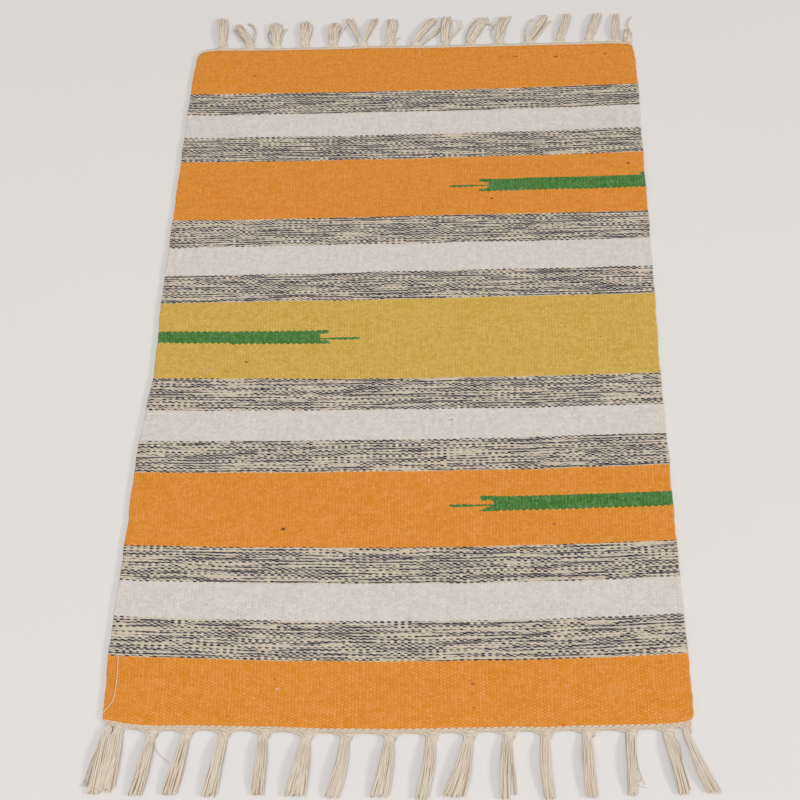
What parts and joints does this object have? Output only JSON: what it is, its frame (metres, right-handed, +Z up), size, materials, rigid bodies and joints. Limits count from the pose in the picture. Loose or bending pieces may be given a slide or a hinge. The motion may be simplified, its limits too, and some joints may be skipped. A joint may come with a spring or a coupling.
{
  "type": "kilim rug",
  "caption": "Small flat-woven cotton kilim with banded weft stripes, tapestry bars and a knotted warp fringe at both ends, lying flat.",
  "frame": {"origin": "middle of the woven body's flat underside", "axes": "+X across the rug, +Y along it from the near end to the far end, +Z up"},
  "size_m": [0.6396, 1.0434, 0.0042],
  "materials": {
    "woven_cotton": "weft-faced plain weave in orange, yellow, white, navy and beige marl, with green bars; matt",
    "natural_yarn": "undyed twisted cotton yarn, matt"
  },
  "bodies": {
    "root": {"rug_body": "woven_cotton", "near_fringe": "natural_yarn", "far_fringe": "natural_yarn"}
  },
  "joints": []
}
